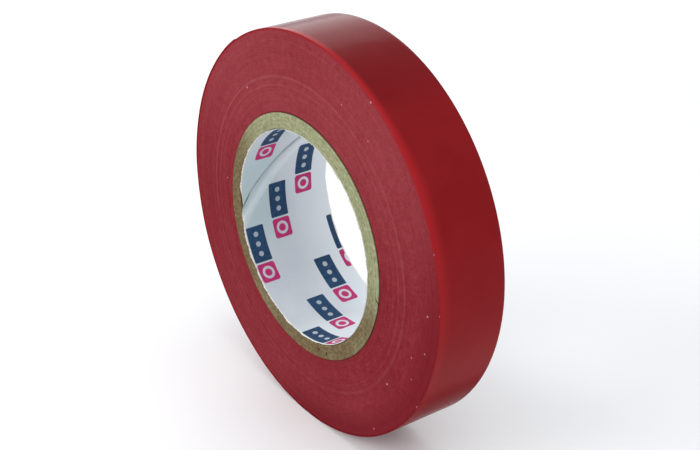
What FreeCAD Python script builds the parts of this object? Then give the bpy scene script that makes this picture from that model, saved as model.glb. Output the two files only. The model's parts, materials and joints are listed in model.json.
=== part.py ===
import FreeCAD, Part
import math
import os

# Roll of PVC electrical tape, wound on a spiral-wound board core with a printed paper liner.
# Millimetres. The roll stands on its rim: +Z is up and the core's axis lies along Y.
# The front side faces -Y. The origin is on the core's axis, in the middle of the tape's width.

# ---- driving dimensions ----
tape_width = 15.0
film_thickness = 0.105
adhesive_thickness = 0.03
tape_length = 25000.0

core_outer_radius = 25.0
bore_radius = 21.75
core_front_proud = 1.0          # how far the core stands out in front of the outermost lap's edge
core_back_proud = 5.5           # and behind its other edge
winding_cone = 0.9              # how much further forward the laps lie at the core than at the rim
liner_thickness = 0.12
ply_count = 4
ply_butt_gap = 0.2              # where the two edges of a ply's board strip meet
winding_slant = 50.0            # degrees between a strip's edge and the core's axis
ply_seam_angles = [52.0, 163.0, 258.0, 322.0]   # each butt seam at mid-length, innermost ply first

tip_angle = 125.0               # where the tape's free end lies on the rim, in degrees from +X to +Z
tail_segments = 4               # hinged lengths of the end that peels off
segment_length = 9.0
tail_clearance = 0.06           # under the free end, so that it lifts off without rubbing
segment_gap = 0.02

# ---- sizes worked out from them ----
tape_thickness = film_thickness + adhesive_thickness
roll_radius = math.sqrt(core_outer_radius ** 2 + tape_length * tape_thickness / math.pi)
core_length = core_front_proud + tape_width + core_back_proud
core_front_y = -tape_width / 2 - core_front_proud
ply_inner_radius = bore_radius + liner_thickness
ply_thickness = (core_outer_radius - ply_inner_radius) / ply_count
segment_turn = math.degrees(segment_length / roll_radius)
tail_start = 360.0 - tail_segments * segment_turn
gap_turn = math.degrees(segment_gap / roll_radius)
pack_first_radius = roll_radius - 2 * tape_thickness


def save(shape, node):
    """Writes one node and prints what it measures."""
    shape.exportStep("parts/" + node + ".step")
    print(f"{node}: {shape.Volume:.3f} mm3, {len(shape.Solids)} solid, valid {shape.isValid()}")


# ---- the core ----

def tube(inner_radius, outer_radius):
    """A tube of the core's length about the roll's axis."""
    start = FreeCAD.Vector(0, core_front_y, 0)
    along = FreeCAD.Vector(0, 1, 0)
    outside = Part.makeCylinder(outer_radius, core_length, start, along)
    inside = Part.makeCylinder(inner_radius, core_length, start, along)
    return outside.cut(inside)


def seam_slot(angle):
    """A thin slanted blade that cuts one side of a ply, where the strip's edges meet."""
    nearest = 0.7 * bore_radius
    furthest = core_outer_radius + 1.0
    blade_length = 2 * core_length / math.cos(math.radians(winding_slant))
    corner = FreeCAD.Vector(nearest, -blade_length / 2, -ply_butt_gap / 2)
    blade = Part.makeBox(furthest - nearest, blade_length, ply_butt_gap, corner)
    centre = FreeCAD.Vector(0, 0, 0)
    blade.rotate(centre, FreeCAD.Vector(1, 0, 0), -winding_slant)
    blade.rotate(centre, FreeCAD.Vector(0, 1, 0), -angle)
    blade.translate(FreeCAD.Vector(0, core_front_y + core_length / 2, 0))
    return blade


def board_ply(number):
    """One layer of board, counted from the bore outwards."""
    inner_radius = ply_inner_radius + number * ply_thickness
    ring = tube(inner_radius, inner_radius + ply_thickness)
    return ring.cut(seam_slot(ply_seam_angles[number]))


# ---- the winding ----
# Seen from the front the tape winds clockwise towards its free end. One lap is drawn as two half
# circles, whose centres lie a quarter of the tape's thickness to each side of the axis, on the line
# through the free end. Each half is larger than the one before, so the lap climbs by one thickness
# with no kink, and an offset lap has the same two centres.

def lap_point(first_radius, turn):
    """A point on the lap that starts at first_radius, after a turn of 0 to 360 degrees."""
    half = 0 if turn <= 180.0 else 1
    side = -1 if half == 0 else 1
    centre = side * tape_thickness / 4
    radius = first_radius + (0.25 + 0.5 * half) * tape_thickness
    along = math.radians(tip_angle)
    angle = math.radians(tip_angle - turn)
    x = centre * math.cos(along) + radius * math.cos(angle)
    z = centre * math.sin(along) + radius * math.sin(angle)
    return FreeCAD.Vector(x, -tape_width / 2, z)


def lap_arcs(first_radius, start, end):
    """The lap's arcs from one turn to another, split where its two halves meet."""
    stops = [start, end]
    if start < 180.0 < end:
        stops = [start, 180.0, end]
    arcs = []
    for first, last in zip(stops, stops[1:]):
        # Both halves pass through the point at 180 degrees, so any stop can end either arc.
        middle = (first + last) / 2
        points = [lap_point(first_radius, turn) for turn in (first, middle, last)]
        arcs.append(Part.Arc(*points).toShape())
    return arcs


def lap_strip(first_radius, thickness, start, end):
    """A strip of tape lying along the lap, as wide as the tape."""
    inside = lap_arcs(first_radius, start, end)
    outside = lap_arcs(first_radius + thickness, start, end)
    ends = []
    for turn in (start, end):
        low = lap_point(first_radius, turn)
        high = lap_point(first_radius + thickness, turn)
        ends.append(Part.makeLine(low, high))
    outline = Part.Wire(Part.__sortEdges__(inside + outside + ends))
    return Part.Face(outline).extrude(FreeCAD.Vector(0, tape_width, 0))


def coned_ring():
    """The space the laps lie in: a thick ring pushed forward evenly from its rim to its bore."""
    outermost = roll_radius + 1.0
    rise = winding_cone / (roll_radius - core_outer_radius)
    corners = []
    for radius, side in ((core_outer_radius, -1), (outermost, -1), (outermost, 1), (core_outer_radius, 1)):
        forward = rise * (roll_radius - radius)
        corners.append(FreeCAD.Vector(radius, side * tape_width / 2 - forward, 0))
    section = Part.Face(Part.makePolygon(corners + corners[:1]))
    return section.revolve(FreeCAD.Vector(0, 0, 0), FreeCAD.Vector(0, 1, 0), 360.0)


def wound_pack():
    """Every lap but the last, bonded into one body by the tape's own adhesive."""
    rim = lap_arcs(pack_first_radius, 0.0, 360.0)
    step = Part.makeLine(lap_point(pack_first_radius, 360.0), lap_point(pack_first_radius, 0.0))
    disc = Part.Face(Part.Wire(Part.__sortEdges__(rim + [step])))
    disc.translate(FreeCAD.Vector(0, -tape_width / 2, 0))
    disc = disc.extrude(FreeCAD.Vector(0, 2 * tape_width, 0))
    return disc.common(coned_ring())


def tail_strip(number, height, thickness):
    """One hinged length of the free end: height is above the lap below it."""
    start = tail_start + number * segment_turn + gap_turn
    end = tail_start + (number + 1) * segment_turn
    return lap_strip(pack_first_radius + height, thickness, start, end)


def hinge_point(number):
    """Where a length of the free end bends: on its outer surface, so that it opens underneath."""
    turn = tail_start + number * segment_turn
    return lap_point(pack_first_radius + tail_clearance + tape_thickness, turn)


os.makedirs("parts", exist_ok=True)

save(tube(bore_radius, ply_inner_radius), "core_liner_paper")
for number in range(ply_count):
    save(board_ply(number), f"core_board_ply_{number + 1}")

save(wound_pack(), "wound_tape")
save(lap_strip(pack_first_radius, tape_thickness, 0.0, tail_start), "outer_lap")
for number in range(tail_segments):
    name = number + 1
    film_height = tail_clearance + adhesive_thickness
    save(tail_strip(number, film_height, film_thickness), f"tail_film_{name}")
    save(tail_strip(number, tail_clearance, adhesive_thickness), f"tail_adhesive_{name}")
    place = hinge_point(number)
    print(f"hinge {name}: {place.x:.4f}, 0, {place.z:.4f}")

print(f"roll radius {roll_radius:.3f}, core length {core_length:.1f}, ply {ply_thickness:.4f}")
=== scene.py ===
import json
import math
import random

import bmesh
import bpy
import numpy as np
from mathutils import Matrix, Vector

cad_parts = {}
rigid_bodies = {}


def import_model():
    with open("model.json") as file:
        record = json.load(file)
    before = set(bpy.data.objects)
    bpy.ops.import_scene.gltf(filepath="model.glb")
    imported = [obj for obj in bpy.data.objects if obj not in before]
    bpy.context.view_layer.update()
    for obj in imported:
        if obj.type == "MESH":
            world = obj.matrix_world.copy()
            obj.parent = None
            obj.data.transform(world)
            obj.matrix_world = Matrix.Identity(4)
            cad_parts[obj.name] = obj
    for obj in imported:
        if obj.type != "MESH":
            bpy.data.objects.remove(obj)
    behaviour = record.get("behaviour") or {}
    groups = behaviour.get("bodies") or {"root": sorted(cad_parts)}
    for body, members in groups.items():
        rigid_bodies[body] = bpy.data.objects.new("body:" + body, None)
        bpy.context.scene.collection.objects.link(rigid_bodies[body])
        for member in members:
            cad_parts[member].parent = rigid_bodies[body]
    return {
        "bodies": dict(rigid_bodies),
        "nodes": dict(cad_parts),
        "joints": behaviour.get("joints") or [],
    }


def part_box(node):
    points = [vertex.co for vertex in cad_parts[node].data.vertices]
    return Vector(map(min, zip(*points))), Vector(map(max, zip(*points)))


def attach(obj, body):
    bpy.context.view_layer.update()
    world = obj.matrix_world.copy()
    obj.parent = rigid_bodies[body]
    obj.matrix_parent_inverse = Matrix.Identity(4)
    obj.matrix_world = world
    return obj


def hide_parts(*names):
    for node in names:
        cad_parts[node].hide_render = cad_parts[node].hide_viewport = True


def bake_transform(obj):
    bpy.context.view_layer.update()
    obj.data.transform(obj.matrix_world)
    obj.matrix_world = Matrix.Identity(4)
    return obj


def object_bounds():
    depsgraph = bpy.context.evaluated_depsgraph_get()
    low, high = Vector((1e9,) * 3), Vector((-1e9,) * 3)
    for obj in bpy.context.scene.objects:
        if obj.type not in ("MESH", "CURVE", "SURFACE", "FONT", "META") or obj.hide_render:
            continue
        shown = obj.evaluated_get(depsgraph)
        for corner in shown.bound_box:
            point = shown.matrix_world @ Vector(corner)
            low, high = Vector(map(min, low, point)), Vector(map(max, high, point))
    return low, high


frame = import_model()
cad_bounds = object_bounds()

# Roll of red PVC electrical tape on a paper-lined board core, standing on its rim. The core's axis
# is Y, and the front side faces -Y. Shapes are worked out in millimetres and made in metres.
# Angles go round the axis from +X towards +Z.

MM = 0.001

# ---- the tape ----
TAPE_THICKNESS = 0.135
ADHESIVE_THICKNESS = 0.03
TAIL_CLEARANCE = 0.06           # under the free end
TIP_ANGLE = 125.0               # where the free end lies
LAP_COLUMNS = 180               # steps round one wound lap
LAP_EDGE = 0.012                # half the width of the step between two laps' edges
LAP_STEP = 0.5                  # degrees between the sections of the outer lap
TAIL_STEP = 0.2                 # and of the free end
LAP_CORNER = 0.05               # how far the film's outer edges are rounded
TAIL_CORNER = 0.04
ADHESIVE_CORNER = 0.005
LAP_RIPPLE = 0.008              # height of the film's slow waves
TAIL_RIPPLE = 0.006
RISE_TURN = 12.0                # degrees over which the outer lap rises to the free end
# How far each bend of the free end reaches before its hinge and after it.
BEND_REACH = [(0.0, 2.6), (2.4, 6.5), (2.4, 6.5), (2.4, 6.5)]
LAP_SET_BACK = 0.05             # of every wound lap behind the outer one
LAP_SCATTER = 0.012             # of each lap on its own
DRIFT_STEP = 0.016              # of neighbouring laps together
DRIFT_KEPT = 0.93               # share of that drift that the next lap keeps
CORE_HOLLOW = (0.16, 0.2)       # depth and reach of the hollow beside the core
RIM_HOLLOW = (0.06, 0.25)       # and of the one beside the rim
EDGE_WANDER = 0.02              # of the outer lap's edges
# Laps that stand out: radius, and how far behind their neighbours (in front if negative).
RAISED_LAPS = [(31.8, -0.06), (30.2, -0.04), (35.6, -0.03), (27.1, 0.04)]
# Painted highlights along raised laps' edges: radius, half the width, strength.
PALE_RINGS = [(31.9, 0.42, 0.40), (30.3, 0.30, 0.26), (28.9, 0.25, 0.16), (38.9, 0.25, 0.14)]
# Crumbs of dust: angle, radius, size.
DUST = [(59, 40.4, 0.26), (18, 41.0, 0.20), (2, 41.0, 0.18), (-30, 40.9, 0.22), (-12, 38.3, 0.20),
        (0, 38.0, 0.24), (68, 34.2, 0.16), (53, 34.3, 0.17), (-17, 35.6, 0.18), (-36, 33.5, 0.26),
        (126, 31.5, 0.28), (174, 27.3, 0.20), (-55, 39.6, 0.20), (-24, 37.2, 0.14)]

# ---- the core ----
WINDING_SLANT = 50.0            # degrees between a strip's edge and the axis
PLY_SEAM_ANGLES = [52.0, 163.0, 258.0, 322.0]   # butt seams at mid-length, innermost first
PLY_BUTT_GAP = 0.2
PLY_COLUMNS = 720
PLY_CHAMFER = 0.05
PLY_RAGGED = 0.025              # height of the waves of a cut end
PLY_FIBRES = 0.05               # and of its single fibres
PLY_STEP = 0.01                 # how far each cut end lies behind the one inside it
END_ZONE = 0.25                 # along the core, where its ends look different from its walls
CORE_NICKS = [(94.9, 25.0), (283.5, 23.3), (122.2, 22.3)]   # angle and radius of front dents
NICK_DEPTH = 0.55
NICK_REACH = (0.55, 0.3)        # round the core and across its wall

# ---- the liner ----
LINER_SEAM_ANGLE = 165.6        # where the upper edge's ridge crosses y = 0
LINER_OVERLAP = 3.0
LINER_COLUMNS = 736
LOOSE_ANGLE = 181.5             # where the paper's front edge comes loose
LOOSE_SPREAD = 6.0
LOOSE_LIFT = 0.70
LOOSE_DEPTH = 0.9               # how far in from the end
LOOSE_SHORT = 1.6               # how much of its overhang is missing there
CRINKLE = 0.03
RIDGE_HEIGHT = 0.32             # over the lap seam
EDGE_CURL = 0.03
LINER_PROUD = 0.15              # how far the paper's ends stand out of the board
LINER_RAGGED = 0.15
SKEW_START = 305.0              # degrees along the strip from where its print drifts
SKEW_LENGTH = 175.0
SKEW = (1.14, 2.3)              # the drift at the strip's end, along it and across it

# ---- the print on the liner ----
PRINT_REPEAT = 26.95            # along a row
PRINT_ROW = 6.6                 # from row to row
PRINT_SHIFT = 8.16              # how far each row starts before the last
PRINT_START = (74.97, -6.15)    # start and middle of one bar, round the bore and along the axis
PRINT_HALF_WIDTH = 2.1
BAR_HALF_LENGTH = 3.85
BAR_CORNER = 0.3
BADGE_MIDDLE = 10.15            # from the start of its bar
BADGE_HALF_LENGTH = 2.1
BADGE_CORNER = 0.6
FIRST_DOT = 1.75                # from the start of its bar
DOT_STEP = 2.1
LAST_DOT = 2.0                  # counted from 0
DOT_EDGE = (0.62, 0.50)         # where a dot's ink ends and where it is full, from its middle
RING_RADIUS = 1.1
RING_EDGE = (0.34, 0.22)        # the same for the ring, from its line
SAFE_REPEATS = 10               # added before MODULO, which keeps a negative value's sign

# ---- the stage, in metres ----
CAMERA_PLACE = (0.1945007, -0.1393977, 0.1205529)
CAMERA_TARGET = (0.0015188, 0.0023338, 0.0002483)
CAMERA_LENS = 69.576            # mm, on a sensor 36 mm wide
FLOOR_HALF_SIZE = 3.0
FLOOR_GAP = 0.00002             # under the roll
SKY_STRENGTH = 0.7
# Name, place, target, width, height, radiance.
SOFTBOXES = [
    ("key_light", (-0.30, -0.95, 0.50), (0, 0, 0), 0.8, 0.7, 4.2),
    ("rear_softbox", (-0.60, 0.43, 0.30), (0, 0, 0.05), 0.75, 0.50, 1.3),
    ("right_light", (1.0, -0.10, 0.80), (0, 0, 0), 0.9, 0.9, 0.7),
    ("overhead_light", (0.25, 0.05, 1.3), (0, 0, 0), 1.2, 0.8, 1.0),
]


def radii(node):
    """The smallest and largest distance of a CAD node's corners from the axis, in mm."""
    corners = np.array([v.co for v in frame["nodes"][node].data.vertices]) / MM
    distance = np.hypot(corners[:, 0], corners[:, 2])
    return float(distance.min()), float(distance.max())


def y_range(node):
    """Where a CAD node starts and ends along the axis, in mm."""
    low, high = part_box(node)
    return low.y / MM, high.y / MM


core_radius, pack_radius = radii("wound_tape")
lap_radius = radii("outer_lap")[0]
liner_inner, liner_outer = radii("core_liner_paper")
pack_front_y = y_range("wound_tape")[0]
rim_front_y, rim_back_y = y_range("outer_lap")
core_front_y, core_back_y = y_range("core_liner_paper")
half_width = (rim_back_y - rim_front_y) / 2
winding_cone = rim_front_y - pack_front_y
core_middle_y = (core_front_y + core_back_y) / 2
hinges = {j["child"]: j for j in frame["joints"]}


# ---- smooth random surfaces ----

def waves(seed, count, shortest, longest):
    """A smooth random height of about -1 to 1 over a surface, with waves of those lengths."""
    source = random.Random(seed)
    parts = []
    for _ in range(count):
        length = shortest * (longest / shortest) ** source.random()
        heading = source.uniform(0, 2 * math.pi)
        phase = source.uniform(0, 2 * math.pi)
        number = 2 * math.pi / length
        parts.append((number * math.cos(heading), number * math.sin(heading), phase))

    def height(along, across):
        total = sum(np.sin(a * along + b * across + phase) for a, b, phase in parts)
        return total / math.sqrt(2 * count)

    return height


def smoothstep(low, high, value):
    """0 below low and 1 above high, with a smooth change between."""
    t = np.clip((value - low) / (high - low), 0, 1)
    return t * t * (3 - 2 * t)


# ---- mesh building ----

def make_piece(name, points, faces, materials, uv, tags=None, sharp_angle=35.0):
    """One mesh piece from points in mm. uv is one pair for each point, also in mm."""
    mesh = bpy.data.meshes.new(name)
    mesh.from_pydata((points * MM).tolist(), [], faces)
    for material in materials:
        mesh.materials.append(material)
    if tags is not None:
        mesh.polygons.foreach_set("material_index", tags)
    corners = np.zeros(len(mesh.loops), np.int32)
    mesh.loops.foreach_get("vertex_index", corners)
    layer = mesh.uv_layers.new(name="strip")
    layer.data.foreach_set("uv", uv[corners].astype(np.float32).ravel())
    work = bmesh.new()
    work.from_mesh(mesh)
    bmesh.ops.recalc_face_normals(work, faces=work.faces)
    work.to_mesh(mesh)
    work.free()
    mesh.polygons.foreach_set("use_smooth", [True] * len(mesh.polygons))
    mesh.set_sharp_from_angle(angle=math.radians(sharp_angle))
    piece = bpy.data.objects.new(name, mesh)
    bpy.context.scene.collection.objects.link(piece)
    return piece


def polar_points(angle, radius, y):
    """Points in mm from angles in degrees."""
    turned = np.radians(angle)
    return np.stack([radius * np.cos(turned), y, radius * np.sin(turned)], axis=-1)


def shell(name, angle, radius, y, materials, tags=None, sharp_angle=35.0):
    """A closed strip round the axis. Each column is one closed section, and the ends are capped."""
    columns, rows = radius.shape
    number = np.arange(columns * rows).reshape(columns, rows)
    beside = np.roll(number, -1, axis=1)
    quads = np.stack([number[:-1], beside[:-1], beside[1:], number[1:]], axis=-1)
    faces = quads.reshape(-1, 4).tolist()
    faces += [number[0].tolist(), number[-1].tolist()]
    if tags is not None:
        tags = np.tile(tags, columns - 1).tolist() + [tags[-1], tags[-1]]
    along = np.radians(angle) * np.mean(radius)
    uv = np.stack([along, y], axis=-1).reshape(-1, 2)
    points = polar_points(angle, radius, y).reshape(-1, 3)
    return make_piece(name, points, faces, materials, uv, tags, sharp_angle)


# ---- the tape ----

def climb(turn):
    """How far a lap has moved out, in mm, after a turn of 0 to 360 degrees from under the tip."""
    quarter = TAPE_THICKNESS / 4
    cosine = np.cos(np.radians(turn))
    return np.where(turn <= 180, quarter * (1 - cosine), quarter * (3 + cosine))


def lap_offsets(count):
    """How far each wound lap stands behind the outer lap's front edge, in mm, innermost first.

    The laps at the core stand forward, so that the side is a shallow cone. They wander a little,
    a few stand out as clear rings, and those next to the core and to the rim lie deeper."""
    source = random.Random(41)
    offsets = []
    drift = 0.0
    for lap in range(count):
        radius = core_radius + (lap + 0.5) * TAPE_THICKNESS
        drift = DRIFT_KEPT * drift + source.uniform(-DRIFT_STEP, DRIFT_STEP)
        offset = LAP_SET_BACK + drift + source.uniform(-LAP_SCATTER, LAP_SCATTER)
        offset -= winding_cone * (pack_radius - radius) / (pack_radius - core_radius)
        for ring, behind in RAISED_LAPS:
            if abs(radius - ring) < 0.6 * TAPE_THICKNESS:
                offset += behind
        offset += CORE_HOLLOW[0] * math.exp(-(radius - core_radius) / CORE_HOLLOW[1])
        offset += RIM_HOLLOW[0] * math.exp(-(pack_radius - radius) / RIM_HOLLOW[1])
        offsets.append(offset)
    return np.array(offsets)


def build_wound_tape(materials):
    """Every lap but the last, as one spiral whose laps are stepped against each other."""
    first_edge = (lap_radius - core_radius) % TAPE_THICKNESS + core_radius
    edges = round((lap_radius - first_edge) / TAPE_THICKNESS) + 1
    offsets = lap_offsets(edges + 2)
    turn = np.arange(LAP_COLUMNS + 1) * 360.0 / LAP_COLUMNS
    rise = climb(turn)
    rows = 2 * edges
    radius = np.zeros((LAP_COLUMNS + 1, rows))
    depth = np.zeros_like(radius)
    laps = np.arange(edges + 2)
    radius[:, 0] = core_radius
    depth[:, 0] = np.interp(turn / 360.0, laps, offsets)
    # Odd rows end a lap and even rows start the next one out.
    for row in range(1, rows):
        lap = row // 2
        sign = -1 if row % 2 else 1
        edge = first_edge + (lap if row % 2 else lap - 1) * TAPE_THICKNESS
        radius[:, row] = edge + rise + sign * LAP_EDGE
        depth[:, row] = np.interp(lap + turn / 360.0, laps, offsets)
    radius[:, rows - 1] += LAP_EDGE

    # Past a full turn each row runs on into the row two further out.
    per_side = LAP_COLUMNS * rows + 2
    number = np.arange(LAP_COLUMNS * rows).reshape(LAP_COLUMNS, rows)
    closing = np.zeros(rows, int)
    closing[0] = number[0, 0]
    closing[1:rows - 2] = number[0, 3:]
    closing[rows - 2:] = [per_side - 2, per_side - 1]
    number = np.vstack([number, closing])

    angle = np.repeat((TIP_ANGLE - turn)[:, None], rows, axis=1)
    order = [(c, r) for c in range(LAP_COLUMNS) for r in range(rows)]
    order += [(LAP_COLUMNS, rows - 2), (LAP_COLUMNS, rows - 1)]
    column_of = np.array([c for c, _ in order])
    row_of = np.array([r for _, r in order])
    angles = angle[column_of, row_of]
    distances = radius[column_of, row_of]
    depths = depth[column_of, row_of]
    front = polar_points(angles, distances, rim_front_y + depths)
    back = polar_points(angles, distances, rim_back_y + depths)
    points = np.vstack([front, back])

    side = np.stack([number[:-1, :-1], number[:-1, 1:], number[1:, 1:], number[1:, :-1]], axis=-1)
    side = side.reshape(-1, 4).tolist()
    # The innermost face of the last column also takes in the step where the spiral starts.
    innermost = (LAP_COLUMNS - 1) * (rows - 1)
    side[innermost] = [int(number[-2, 0]), int(number[-2, 1]), int(number[0, 3]),
                       int(number[0, 2]), int(number[0, 1]), int(number[0, 0])]
    faces = side + [[i + per_side for i in face] for face in side]
    tags = [0] * len(faces)
    for row, tag in ((0, 0), (rows - 1, 1)):
        for column in range(LAP_COLUMNS):
            a = int(number[column, row])
            b = int(number[column + 1, row])
            faces.append([a, b, b + per_side, a + per_side])
            tags.append(tag)
    step = [int(number[0, rows - 1]), per_side - 2, per_side - 1]
    for a, b in zip(step, step[1:]):
        faces.append([a, b, b + per_side, a + per_side])
        tags.append(1)
    along = -np.radians(TIP_ANGLE - 360.0 / LAP_COLUMNS * column_of) * pack_radius
    uv = np.stack([np.tile(along, 2), points[:, 1]], axis=-1)
    return make_piece("tape_winding", points, faces, materials, uv, tags, 30.0)


def tape_section(inner, outer, corner, across=26):
    """A closed section of tape: heights above the lap's own radius, and places across its width.

    The outer corners are rounded, and the slit sides are told apart by the third array."""
    width = half_width
    heights = []
    places = []
    sides = []
    for place in np.linspace(-width + corner, width - corner, across):
        heights.append(outer)
        places.append(place)
        sides.append(0)
    quarter = math.pi / 2
    for sign in (1, -1):
        bend = np.linspace(0, quarter, 4)[1:] if sign > 0 else np.linspace(quarter, 0, 4)[:-1]
        rounded = [(outer - corner + corner * math.cos(a),
                    sign * (width - corner + corner * math.sin(a))) for a in bend]
        bottom = [(inner, sign * width)]
        for height, place in (rounded + bottom if sign > 0 else bottom + rounded):
            heights.append(height)
            places.append(place)
            sides.append(1)
    return np.array(heights), np.array(places), np.array(sides)


def build_strip(name, turns, step, inner, outer, corner, materials, ripple, lift=None):
    """A length of tape that lies along the outer lap, between two turns from the tip."""
    first_turn, last_turn = turns
    count = round((last_turn - first_turn) / step) + 1
    turn = np.linspace(first_turn, last_turn, count)
    heights, places, sides = tape_section(inner, outer, corner)
    base = lap_radius + climb(turn)
    if lift is not None:
        base = base + lift(turn)
    angle = np.repeat((TIP_ANGLE - turn)[:, None], len(heights), axis=1)
    y = np.repeat(places[None, :], count, axis=0) + edge_wander(angle)
    along = np.radians(angle) * lap_radius
    ripples = ripple * RIM_WAVES(along, y) * (heights > inner)[None, :]
    radius = base[:, None] + heights[None, :] + ripples
    return shell(name, angle, radius, y, materials, sides, 50.0)


RIM_WAVES = waves(7, 14, 6.0, 26.0)
EDGE_WAVES = waves(8, 8, 12.0, 60.0)


def edge_wander(angle):
    """How far the outer lap's edges wander along the axis, in mm."""
    return EDGE_WANDER * EDGE_WAVES(np.radians(angle) * lap_radius, 0.0)


# ---- the core ----

def seam_angle(middle, y, radius):
    """Where a slanted seam lies at one place along the core."""
    reach = (y - core_middle_y) * math.tan(math.radians(WINDING_SLANT)) / radius
    return middle - np.degrees(np.arcsin(np.clip(reach, -0.95, 0.95)))


def build_ply(number, material):
    """One layer of board, with a torn, fibrous look at its cut ends and a slanted butt seam."""
    node = f"core_board_ply_{number + 1}"
    inner, outer = radii(node)
    end_rows = 6
    wall_rows = 9
    across = np.linspace(inner, outer, end_rows)
    between = np.linspace(core_front_y + END_ZONE, core_back_y - END_ZONE, wall_rows)
    row_radius = np.concatenate([across, np.full(wall_rows, outer), across[::-1],
                                 np.full(wall_rows, inner)])
    row_y = np.concatenate([np.full(end_rows, core_front_y), between,
                            np.full(end_rows, core_back_y), between[::-1]])
    row_end = np.concatenate([np.full(end_rows, 1.0), np.zeros(wall_rows), np.full(end_rows, -1.0),
                              np.zeros(wall_rows)])
    edge_rows = np.isin(row_radius, (inner, outer)) & (row_end != 0)
    gap = math.degrees(PLY_BUTT_GAP / math.cos(math.radians(WINDING_SLANT)) / outer)
    turn = np.linspace(gap / 2, 360.0 - gap / 2, PLY_COLUMNS)
    radius = np.repeat(row_radius[None, :], PLY_COLUMNS, axis=0)
    y = np.repeat(row_y[None, :], PLY_COLUMNS, axis=0)
    angle = seam_angle(PLY_SEAM_ANGLES[number], y, radius) + turn[:, None]

    rough = np.random.default_rng(100 + number)
    ragged = waves(200 + number, 16, 0.5, 6.0)(np.radians(angle) * radius, 3.0 * radius)
    fibres = rough.uniform(-1, 1, y.shape) ** 3
    depth = PLY_RAGGED * ragged + PLY_FIBRES * fibres + PLY_STEP * number
    depth += PLY_CHAMFER * edge_rows[None, :]
    for nick_angle, nick_radius in CORE_NICKS:
        aside = np.radians((angle - nick_angle + 180.0) % 360.0 - 180.0) * radius
        reach = np.hypot(aside / NICK_REACH[0], (radius - nick_radius) / NICK_REACH[1])
        depth += NICK_DEPTH * np.exp(-reach ** 2) * (row_end > 0)[None, :]
    y = y + depth * row_end[None, :]
    return shell(f"board_ply_{number + 1}", angle, radius, y, [material])


def liner_seam(y):
    """Where the ridge over the liner's lap seam lies at one place along the bore."""
    slope = math.degrees(math.tan(math.radians(WINDING_SLANT)) / liner_inner)
    return LINER_SEAM_ANGLE - slope * y


def build_liner(material):
    """The paper strip of the core, whose two edges overlap along a slanted seam."""
    thickness = liner_outer - liner_inner
    overlap = math.degrees(LINER_OVERLAP / liner_inner)
    inner_y = np.linspace(core_front_y, core_back_y, 42)
    outer_y = inner_y[::-6]
    row_y = np.concatenate([inner_y, outer_y])
    row_inside = np.concatenate([np.ones(len(inner_y)), np.zeros(len(outer_y))])
    turn = np.linspace(-overlap, 360.0, LINER_COLUMNS)
    y = np.repeat(row_y[None, :], LINER_COLUMNS, axis=0)
    angle = liner_seam(y) + turn[:, None]
    around = np.radians(angle) * liner_inner

    lifted = thickness * (1 - smoothstep(-0.4, 3.2, turn))
    crinkle = waves(31, 18, 4.0, 22.0)(around, y) * CRINKLE
    crease = RIDGE_HEIGHT * np.exp(-((turn - 1.0) / 3.0) ** 2)
    crease += EDGE_CURL * np.exp(-(turn + overlap) / 1.2)
    inward = (lifted + crease)[:, None] + crinkle
    near_front = np.exp(-(y - core_front_y) / LOOSE_DEPTH)
    loose = np.exp(-(((angle - LOOSE_ANGLE + 180.0) % 360.0 - 180.0) / LOOSE_SPREAD) ** 2)
    inward = inward + LOOSE_LIFT * loose * near_front
    base = np.where(row_inside > 0, liner_inner, liner_outer)
    radius = base[None, :] - np.maximum(inward, -CRINKLE)

    ragged = waves(32, 20, 0.7, 7.0)
    at_front = (np.abs(y - core_front_y) < 1e-6)
    at_back = (np.abs(y - core_back_y) < 1e-6)
    proud = (LINER_PROUD + LINER_RAGGED * ragged(around, 0.0)) * (1 - LOOSE_SHORT * loose)
    y = y - proud * at_front + proud * at_back
    piece = shell("liner", angle, radius, y, [material])
    layer = piece.data.uv_layers["strip"]
    uv = np.zeros(len(piece.data.loops) * 2, np.float32)
    layer.data.foreach_get("uv", uv)
    uv = uv.reshape(-1, 2)
    # The strip's far edge comes round again with its rows a little higher than where it started.
    map_radius = float(np.mean(radius))     # that shell() laid the map out on
    around = np.degrees(uv[:, 0] / map_radius)
    skew = np.clip((around - SKEW_START) / SKEW_LENGTH, 0, 1)
    uv[:, 0] = np.radians(around) * liner_inner - SKEW[0] * skew
    uv[:, 1] -= SKEW[1] * skew
    layer.data.foreach_set("uv", uv.ravel())
    return piece


# ---- materials ----

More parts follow.
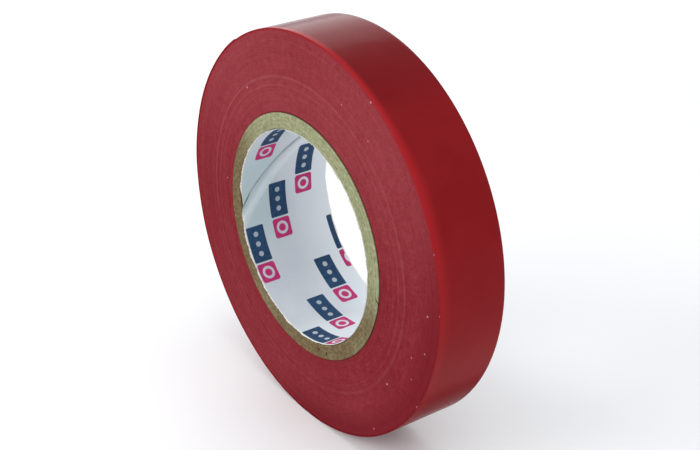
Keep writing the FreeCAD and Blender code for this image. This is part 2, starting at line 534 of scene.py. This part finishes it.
class Looks:
    """A material and short ways to add its nodes."""

    def __init__(self, name):
        self.material = bpy.data.materials.new(name)
        self.material.use_nodes = True
        self.tree = self.material.node_tree
        self.shader = self.tree.nodes["Principled BSDF"]

    def feed(self, socket, value):
        if isinstance(value, bpy.types.NodeSocket):
            self.tree.links.new(value, socket)
        elif value is not None:
            socket.default_value = value

    def node(self, kind, inputs=(), **settings):
        made = self.tree.nodes.new("ShaderNode" + kind)
        for name, value in settings.items():
            setattr(made, name, value)
        pairs = inputs.items() if isinstance(inputs, dict) else enumerate(inputs)
        for place, value in pairs:
            self.feed(made.inputs[place], value)
        return made

    def math(self, operation, *values):
        return self.node("Math", values, operation=operation).outputs[0]

    def plus(self, first, second):
        return self.math("ADD", first, second)

    def minus(self, first, second):
        return self.math("SUBTRACT", first, second)

    def times(self, first, second):
        return self.math("MULTIPLY", first, second)

    def gap(self, first, second):
        """How far apart two values are."""
        return self.math("ABSOLUTE", self.minus(first, second))

    def length(self, vector):
        return self.node("VectorMath", [vector], operation="LENGTH").outputs["Value"]

    def band(self, value, low, high):
        """0 below low and 1 above high, with a smooth change between. low may be above high."""
        made = self.node("MapRange", {"Value": value, "From Min": low, "From Max": high},
                         interpolation_type="SMOOTHSTEP")
        return made.outputs[0]

    def spread(self, value, low, high):
        """A noise value of about 0.3 to 0.7 stretched to run from low to high."""
        made = self.node("MapRange", {"Value": value, "From Min": 0.3, "From Max": 0.7,
                                      "To Min": low, "To Max": high})
        return made.outputs[0]

    def mix(self, amount, first, second):
        made = self.node("Mix", {0: amount, 6: first, 7: second}, data_type="RGBA")
        return made.outputs[2]

    def between(self, noise, first, second):
        """A colour that wanders from first to second with a noise value."""
        return self.mix(self.spread(noise, 0.0, 1.0), first, second)

    def noise(self, vector, scale, detail=2.0, rough=0.5):
        made = self.node("TexNoise", {"Vector": vector, "Scale": scale, "Detail": detail,
                                      "Roughness": rough})
        return made.outputs[0]

    def split(self, vector):
        return self.node("SeparateXYZ", [vector]).outputs

    def join(self, x, y, z):
        return self.node("CombineXYZ", [x, y, z]).outputs[0]

    def place(self):
        """The piece's own coordinates in mm."""
        metres = self.node("TexCoord").outputs["Object"]
        scaled = self.node("VectorMath", [metres, (1 / MM,) * 3], operation="MULTIPLY")
        return scaled.outputs[0]

    def strip(self):
        """Distances in mm along a strip and across it."""
        return self.node("UVMap", uv_map="strip").outputs[0]

    def rings(self, around, outwards):
        """Coordinates for noise drawn out round the axis, and the distance from the axis."""
        x, _, z = self.split(self.place())
        radius = self.math("SQRT", self.plus(self.times(x, x), self.times(z, z)))
        across = self.math("DIVIDE", around, radius)
        vector = self.join(self.times(x, across), self.times(z, across),
                           self.times(radius, outwards))
        return vector, radius

    def bump(self, height, depth, strength=1.0):
        """height of 0 to 1 raised by depth in mm."""
        made = self.node("Bump", {"Strength": strength, "Distance": depth * MM, "Height": height})
        self.feed(self.shader.inputs["Normal"], made.outputs[0])

    def set(self, **inputs):
        for name, value in inputs.items():
            self.feed(self.shader.inputs[name.replace("_", " ")], value)


def colour(red, green, blue):
    """A linear colour with full alpha."""
    return (red, green, blue, 1.0)


# Linear colours. They were fitted to the photo under this scene's lights, so some of its light and
# shade is in them and in where they lie on the roll. Pairs are the two ends of a range.
SIDE_DEEP = colour(0.168, 0.0105, 0.0160)
SIDE_PALE = colour(0.252, 0.037, 0.046)
# Painted highlight along raised laps' edges.
SIDE_LAP_HIGHLIGHT = colour(0.30, 0.075, 0.080)
SIDE_RIM = colour(0.27, 0.017, 0.022)
# Painted shade towards the rim at the lower right.
SIDE_SHADE = colour(0.150, 0.0085, 0.0140)
# Painted shade in the hollow beside the core.
SIDE_HOLLOW_SHADE = colour(0.075, 0.012, 0.012)
DUST_PALE = colour(0.66, 0.42, 0.40)
FILM = (colour(0.212, 0.0082, 0.0105), colour(0.240, 0.0098, 0.0130))
# Painted shade near the top and bottom of the film.
FILM_SHADE = colour(0.135, 0.0060, 0.0080)
# Painted glow of light along the front edge.
FILM_EDGE_LIGHT = colour(0.37, 0.015, 0.019)
ADHESIVE = (colour(0.23, 0.013, 0.017), colour(0.30, 0.026, 0.031))
# Clean board lit from above, and board with a brown stain in painted shade.
BOARD_TONE = (colour(0.262, 0.275, 0.148), colour(0.132, 0.092, 0.042))
BOARD_LIGHT = (colour(0.370, 0.385, 0.240), colour(0.225, 0.180, 0.092))
BOARD_DARK = (colour(0.125, 0.110, 0.050), colour(0.050, 0.032, 0.014))
PAPER = (colour(0.56, 0.60, 0.64), colour(0.65, 0.68, 0.71))
PAPER_FIBRE = colour(0.47, 0.51, 0.54)
# Painted shade on the left wall.
PAPER_SHADED = colour(0.49, 0.595, 0.61)
# Painted light at the back and the lower right.
PAPER_LIT = colour(0.77, 0.82, 0.85)
# Paler double paper with a painted highlight along the seam's ridge.
PAPER_RIDGE_LIT = colour(0.80, 0.85, 0.87)
PAPER_SHADOW = colour(0.36, 0.42, 0.44)
PAPER_EDGE = colour(0.90, 0.88, 0.80)
NAVY = (colour(0.007, 0.040, 0.105), colour(0.010, 0.055, 0.130))
MAGENTA = (colour(0.47, 0.018, 0.135), colour(0.54, 0.026, 0.165))
FLOOR = (colour(0.92, 0.92, 0.92), colour(0.94, 0.94, 0.94))
SKY = colour(0.93, 0.96, 1.0)


def slit_side_material():
    """The side of the winding: about 120 slit film edges, matt and a little dusty, with painted
    light and shade.
    """
    looks = Looks("pvc_slit_side")
    place = looks.place()
    fine, radius = looks.rings(9.0, 7.4)
    broad, _ = looks.rings(3.0, 1.3)
    streaks = looks.noise(fine, 1.0, 3.0, 0.6)
    tones = looks.noise(broad, 1.0, 2.0, 0.55)
    haze = looks.noise(place, 0.035, 3.0, 0.6)
    mottle = looks.noise(place, 0.8, 4.0, 0.7)
    grain = looks.noise(place, 3.0, 2.0, 0.6)
    x, _, z = looks.split(place)
    # The upper half is painted paler, as light from above, and the lowest part a little paler.
    painted_height_light = looks.plus(looks.times(looks.band(z, -4.0, 27.0), 0.55),
                      looks.times(looks.band(z, -12.0, -34.0), 0.20))
    level = looks.plus(painted_height_light, looks.spread(tones, 0.05, 0.25))
    for noise, reach in ((streaks, 0.08), (haze, 0.14), (mottle, 0.22), (grain, 0.22)):
        level = looks.plus(level, looks.spread(noise, -reach, reach))
    red = looks.mix(level, SIDE_DEEP, SIDE_PALE)
    # Painted highlights along a few raised laps' edges, strongest on the upper half, lit from
    # above.
    upper_light = looks.plus(looks.times(looks.band(z, -30.0, 10.0), 0.6), 0.4)
    for ring, width, strength in PALE_RINGS:
        lap_highlight = looks.band(looks.gap(radius, ring), width, 0.3 * width)
        lap_highlight = looks.times(lap_highlight, looks.spread(mottle, 0.5 * strength, strength))
        lap_highlight = looks.times(lap_highlight, upper_light)
        red = looks.mix(lap_highlight, red, SIDE_LAP_HIGHLIGHT)
    # The outermost laps are a brighter red.
    red = looks.mix(looks.band(radius, 40.3, 41.0), red, SIDE_RIM)
    # Painted shade: the side is darker towards the rim at the lower right.
    lower_right = looks.minus(looks.times(x, 0.7), looks.times(z, 0.7))
    painted_lighting = looks.times(looks.band(lower_right, 10.0, 32.0), looks.band(radius, 34.0, 39.5))
    red = looks.mix(looks.times(painted_lighting, 0.8), red, SIDE_SHADE)
    # The hollow beside the core is painted dark as shade, deepest at the top right.
    corner = looks.band(looks.plus(looks.times(x, 0.8), looks.times(z, 0.6)), 4.0, 18.0)
    hollow_shade = looks.times(looks.band(radius, 25.40, 25.18), looks.plus(corner, 0.35))
    red = looks.mix(hollow_shade, red, SIDE_HOLLOW_SHADE)
    red = specks(looks, place, red)
    looks.set(Base_Color=red, Roughness=looks.spread(tones, 0.55, 0.70))
    looks.set(Specular_IOR_Level=0.03)
    looks.bump(looks.plus(streaks, looks.plus(mottle, grain)), 0.05, 0.6)
    return looks.material


def specks(looks, place, under):
    """Pale crumbs of dust that stick to the side."""
    for angle, radius, size in DUST:
        x = radius * math.cos(math.radians(angle))
        z = radius * math.sin(math.radians(angle))
        there = looks.node("VectorMath", [place, (1, 0, 1)], operation="MULTIPLY").outputs[0]
        gap = looks.node("VectorMath", [there, (x, 0, z)], operation="DISTANCE").outputs["Value"]
        under = looks.mix(looks.times(looks.band(gap, size, 0.5 * size), 0.55), under, DUST_PALE)
    return under


def film_material():
    """The smooth glossy outside of the tape, with painted shade and a painted glow along its front
    edge.
    """
    looks = Looks("pvc_film")
    strip = looks.strip()
    _, across, _ = looks.split(strip)
    cloud = looks.noise(strip, 0.11, 3.0, 0.55)
    grain = looks.noise(strip, 2.6, 3.0, 0.6)
    stretched = looks.node("Mapping", {"Vector": strip, "Scale": (0.10, 1.1, 1.0)}).outputs[0]
    scuff = looks.noise(stretched, 1.0, 3.0, 0.6)
    red = looks.between(cloud, *FILM)
    _, _, z = looks.split(looks.place())
    # Painted shade: it is darker near the top and towards the bottom.
    painted_shade = looks.plus(looks.times(looks.band(z, 31.0, 39.0), 0.6),
                      looks.times(looks.band(z, -15.0, -22.0), 0.55))
    red = looks.mix(painted_shade, red, FILM_SHADE)
    # A painted glow of light along the front edge, widest at the right, fading towards the bottom.
    reach = looks.minus(3.1 - half_width, looks.times(looks.band(z, 22.0, 37.0), 1.4))
    fade = looks.plus(looks.times(looks.band(z, -26.0, 30.0), 0.85), 0.15)
    edge = looks.times(looks.band(across, reach, 0.1 - half_width), fade)
    red = looks.mix(edge, red, FILM_EDGE_LIGHT)
    looks.set(Base_Color=red)
    rough = looks.plus(looks.spread(cloud, 0.15, 0.21), looks.spread(scuff, -0.02, 0.05))
    looks.set(Roughness=rough)
    # It reflects less towards the bottom. This level is linked through math nodes, so it is lost
    # wherever only the shader's own socket values are kept. This level is linked, so the export
    # drops it.
    gloss = looks.plus(looks.times(looks.band(z, -20.0, -9.0), 0.046), 0.004)
    looks.set(Specular_IOR_Level=gloss)
    height = looks.plus(looks.times(cloud, 6.0), looks.times(grain, 0.2))
    height = looks.plus(height, looks.times(scuff, 0.25))
    looks.bump(height, 0.012, 0.7)
    return looks.material


def adhesive_material():
    """The tacky underside of the tape, the film's colour with a dull, slightly streaky coat."""
    looks = Looks("tape_adhesive")
    strip = looks.strip()
    stretched = looks.node("Mapping", {"Vector": strip, "Scale": (0.25, 1.6, 1.0)}).outputs[0]
    coat = looks.noise(stretched, 1.0, 4.0, 0.6)
    grain = looks.noise(strip, 5.0, 2.0, 0.6)
    red = looks.between(coat, *ADHESIVE)
    looks.set(Base_Color=red, Roughness=looks.spread(coat, 0.42, 0.58))
    looks.set(Specular_IOR_Level=0.10)
    looks.bump(looks.plus(coat, looks.times(grain, 0.5)), 0.02, 0.8)
    return looks.material


def board_material(number):
    """Grey-brown recycled board, with loose fibres on its cut ends."""
    looks = Looks(f"core_board_{number + 1}")
    place = looks.place()
    drawn, radius = looks.rings(16.0, 3.2)
    fibres = looks.noise(drawn, 1.0, 4.0, 0.7)
    pulp = looks.noise(place, 1.2, 4.0, 0.75)
    patches = looks.noise(place, 0.09, 2.0, 0.5)
    # The board is greener and painted lighter at the top of the roll, and browner and darker to the
    # left and below: part stain, part painted shade.
    x, _, z = looks.split(place)
    height = looks.plus(z, looks.times(x, 0.5))
    stain_and_shade = looks.plus(looks.band(height, 17.0, -4.0), looks.spread(patches, -0.2, 0.2))
    tone = looks.mix(stain_and_shade, *BOARD_TONE)
    light = looks.mix(stain_and_shade, *BOARD_LIGHT)
    dark = looks.mix(stain_and_shade, *BOARD_DARK)
    tone = looks.mix(looks.times(looks.band(pulp, 0.48, 0.66), 0.75), tone, light)
    tone = looks.mix(looks.times(looks.band(pulp, 0.45, 0.32), 0.75), tone, dark)
    tone = looks.mix(looks.times(looks.band(fibres, 0.50, 0.36), 0.25), tone, dark)
    _, outer = radii(f"core_board_ply_{number + 1}")
    glue = looks.band(looks.gap(radius, outer), 0.10, 0.02)
    tone = looks.mix(looks.times(glue, 0.3), tone, dark)
    looks.set(Base_Color=tone, Roughness=looks.spread(pulp, 0.8, 0.95))
    looks.set(Specular_IOR_Level=0.2)
    looks.bump(looks.plus(fibres, pulp), 0.07, 0.7)
    return looks.material


def rounded_box(looks, x, y, centre, half_length, half_height, corner):
    """1 inside a box with round corners, in mm."""
    aside = looks.gap(x, centre)
    beyond_x = looks.math("MAXIMUM", looks.minus(aside, half_length - corner), 0.0)
    beyond_y = looks.minus(looks.math("ABSOLUTE", y), half_height - corner)
    beyond_y = looks.math("MAXIMUM", beyond_y, 0.0)
    reach = looks.length(looks.join(beyond_x, beyond_y, 0.0))
    return looks.band(reach, corner + 0.05, corner - 0.05)


def liner_material():
    """White paper with rows of a navy bar and a magenta badge, marked with dots and a ring."""
    looks = Looks("printed_liner")
    strip = looks.strip()
    along, across, _ = looks.split(strip)
    fibre = looks.noise(strip, 1.3, 4.0, 0.65)
    cloud = looks.noise(strip, 0.09, 2.0, 0.5)
    paper = looks.between(cloud, *PAPER)
    paper = looks.mix(looks.spread(fibre, 0.0, 0.16), paper, PAPER_FIBRE)
    # Painted shade greys the front of the left wall, and painted light brightens the back and the
    # lower right.
    x, depth, z = looks.split(looks.place())
    left_wall_shade = looks.times(looks.band(z, 15.0, 6.0), looks.band(z, -14.0, -4.0))
    left_wall_shade = looks.times(left_wall_shade, looks.band(depth, 3.0, -4.0))
    paper = looks.mix(left_wall_shade, paper, PAPER_SHADED)
    painted_lighting = looks.math("MAXIMUM", looks.band(depth, -2.0, 14.0),
                       looks.times(looks.band(x, -6.0, 3.0), 0.75))
    paper = looks.mix(painted_lighting, paper, PAPER_LIT)
    # Along the lap seam the paper is double: a paler ridge, partly whiter double paper and partly a
    # painted highlight, beside the shadow under its edge.
    slant = math.tan(math.radians(WINDING_SLANT))
    seam = looks.plus(looks.minus(along, math.radians(LINER_SEAM_ANGLE) * liner_inner),
                      looks.times(across, slant))
    double_ply_and_highlight = looks.band(looks.gap(seam, 0.5), 2.5, 0.6)
    paper = looks.mix(looks.times(double_ply_and_highlight, 0.5), paper, PAPER_RIDGE_LIT)
    under = looks.band(looks.math("ABSOLUTE", looks.plus(seam, LINER_OVERLAP)), 2.0, 0.05)
    under = looks.times(under, looks.band(looks.math("ABSOLUTE", across), 7.0, 2.5))
    paper = looks.mix(looks.times(under, 0.5), paper, PAPER_SHADOW)
    ends = looks.plus(looks.band(depth, core_front_y + END_ZONE, core_front_y),
                      looks.band(depth, core_back_y - END_ZONE, core_back_y))

    start, middle = PRINT_START
    upwards = looks.minus(across, middle - PRINT_ROW / 2)
    row = looks.math("FLOOR", looks.math("DIVIDE", upwards, PRINT_ROW))
    y = looks.math("MODULO", looks.plus(upwards, SAFE_REPEATS * PRINT_ROW), PRINT_ROW)
    y = looks.minus(y, PRINT_ROW / 2)
    x = looks.plus(looks.minus(along, start), looks.times(row, PRINT_SHIFT))
    x = looks.math("MODULO", looks.plus(x, SAFE_REPEATS * PRINT_REPEAT), PRINT_REPEAT)

    bar = rounded_box(looks, x, y, BAR_HALF_LENGTH, BAR_HALF_LENGTH, PRINT_HALF_WIDTH, BAR_CORNER)
    badge = rounded_box(looks, x, y, BADGE_MIDDLE, BADGE_HALF_LENGTH, PRINT_HALF_WIDTH,
                        BADGE_CORNER)
    nearest = looks.math("ROUND", looks.math("DIVIDE", looks.minus(x, FIRST_DOT), DOT_STEP))
    nearest = looks.math("MINIMUM", looks.math("MAXIMUM", nearest, 0.0), LAST_DOT)
    dot_x = looks.minus(looks.minus(x, FIRST_DOT), looks.times(nearest, DOT_STEP))
    dots = looks.band(looks.length(looks.join(dot_x, y, 0.0)), *DOT_EDGE)
    from_badge = looks.length(looks.join(looks.minus(x, BADGE_MIDDLE), y, 0.0))
    ring = looks.band(looks.gap(from_badge, RING_RADIUS), *RING_EDGE)

    ink = looks.spread(fibre, 0.95, 1.0)
    navy = looks.between(cloud, *NAVY)
    magenta = looks.between(cloud, *MAGENTA)
    shown = looks.mix(looks.times(bar, ink), paper, navy)
    shown = looks.mix(looks.times(looks.times(bar, dots), 0.65), shown, paper)
    shown = looks.mix(looks.times(badge, ink), shown, magenta)
    shown = looks.mix(looks.times(looks.times(badge, ring), 0.9), shown, paper)
    shown = looks.mix(ends, shown, PAPER_EDGE)
    looks.set(Base_Color=shown, Roughness=looks.spread(fibre, 0.55, 0.72))
    looks.set(Specular_IOR_Level=0.1)
    looks.bump(fibre, 0.015, 0.6)
    return looks.material


def floor_material():
    """Pale, nearly even paper."""
    looks = Looks("floor_paper")
    place = looks.place()
    cloud = looks.noise(place, 0.004, 2.0, 0.5)
    looks.set(Base_Color=looks.between(cloud, *FLOOR))
    looks.set(Roughness=0.8, Specular_IOR_Level=0.2)
    return looks.material


# ---- the stage ----

def aim(thing, place, target):
    """Puts a light or the camera at a place, looking at the target."""
    thing.location = place
    thing.rotation_euler = (Vector(target) - Vector(place)).to_track_quat("-Z", "Y").to_euler()


def add_camera():
    """The camera that was fitted to the photo's outlines."""
    data = bpy.data.cameras.new("camera")
    data.lens = CAMERA_LENS
    data.sensor_width = 36.0
    data.clip_start = 0.01
    camera = bpy.data.objects.new("camera", data)
    bpy.context.scene.collection.objects.link(camera)
    aim(camera, CAMERA_PLACE, CAMERA_TARGET)
    bpy.context.scene.camera = camera


def add_softbox(name, place, target, width, height, radiance):
    """An area light that looks equally bright from wherever it is seen."""
    data = bpy.data.lights.new(name, "AREA")
    data.shape = "RECTANGLE"
    data.size = width
    data.size_y = height
    data.energy = radiance * math.pi * width * height
    light = bpy.data.objects.new(name, data)
    bpy.context.scene.collection.objects.link(light)
    aim(light, place, target)


def add_stage():
    """A pale floor, soft boxes and a soft even sky."""
    low, _ = cad_bounds
    mesh = bpy.data.meshes.new("floor")
    size = FLOOR_HALF_SIZE
    level = low[2] - FLOOR_GAP
    corners = [(x * size, y * size, level) for x, y in ((-1, -1), (1, -1), (1, 1), (-1, 1))]
    mesh.from_pydata(corners, [], [(0, 1, 2, 3)])
    mesh.materials.append(floor_material())
    floor = bpy.data.objects.new("floor", mesh)
    bpy.context.scene.collection.objects.link(floor)

    for softbox in SOFTBOXES:
        add_softbox(*softbox)

    world = bpy.data.worlds.new("studio")
    world.use_nodes = True
    background = world.node_tree.nodes["Background"]
    background.inputs["Color"].default_value = SKY
    background.inputs["Strength"].default_value = SKY_STRENGTH
    bpy.context.scene.world = world
    bpy.context.scene.view_settings.view_transform = "Standard"


# ---- putting it together ----

def place_piece(piece, body, nodes):
    """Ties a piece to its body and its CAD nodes."""
    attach(piece, body)
    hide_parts(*nodes)


def build_tail(film_looks, adhesive_looks):
    """The free end: a film and an adhesive piece for each hinged length.

    Each piece starts where its hinge's bend starts, and runs on to where the next one starts."""
    tail = [body for body in frame["bodies"] if body != "roll"]
    hinge_turns = []
    for body in tail:
        x, _, z = hinges[body]["pos_m"]
        hinge_turns.append((TIP_ANGLE - math.degrees(math.atan2(z, x))) % 360.0)
    starts = [turn - math.degrees(before / lap_radius)
              for turn, (before, _) in zip(hinge_turns, BEND_REACH)]
    below = TAIL_CLEARANCE
    layers = [
        ("film", film_looks, below + ADHESIVE_THICKNESS, below + TAPE_THICKNESS, TAIL_CORNER,
         TAIL_RIPPLE, "pvc_film"),
        ("adhesive", adhesive_looks, below, below + ADHESIVE_THICKNESS, ADHESIVE_CORNER,
         0.0, "adhesive"),
    ]
    for place, body in enumerate(tail):
        turns = (starts + [360.0])[place:place + 2]
        for kind, materials, inner, outer, corner, ripple, slot in layers:
            piece = build_strip(f"tail_{kind}_piece_{place + 1}", turns, TAIL_STEP, inner, outer,
                                corner, materials, ripple)
            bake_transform(piece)
            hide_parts(f"tail_{kind}_{place + 1}")
    return starts[0]


def tail_rise(turn):
    """How far the outer lap rises towards its end, to meet the free end."""
    return TAIL_CLEARANCE * smoothstep(tail_start - RISE_TURN, tail_start, turn)


add_camera()
add_stage()

slit_side = slit_side_material()
film = film_material()
adhesive = adhesive_material()

tail_start = build_tail([film, slit_side], [adhesive, adhesive])
outer_lap = build_strip("tape_outer_lap", (0.0, tail_start), LAP_STEP, 0.0, TAPE_THICKNESS,
                        LAP_CORNER, [film, slit_side], LAP_RIPPLE, lift=tail_rise)
place_piece(outer_lap, "roll", ["outer_lap"])
winding = build_wound_tape([slit_side, film])
place_piece(winding, "roll", ["wound_tape"])
for number in range(len(PLY_SEAM_ANGLES)):
    ply = build_ply(number, board_material(number))
    place_piece(ply, "roll", [f"core_board_ply_{number + 1}"])
liner = build_liner(liner_material())
place_piece(liner, "roll", ["core_liner_paper"])
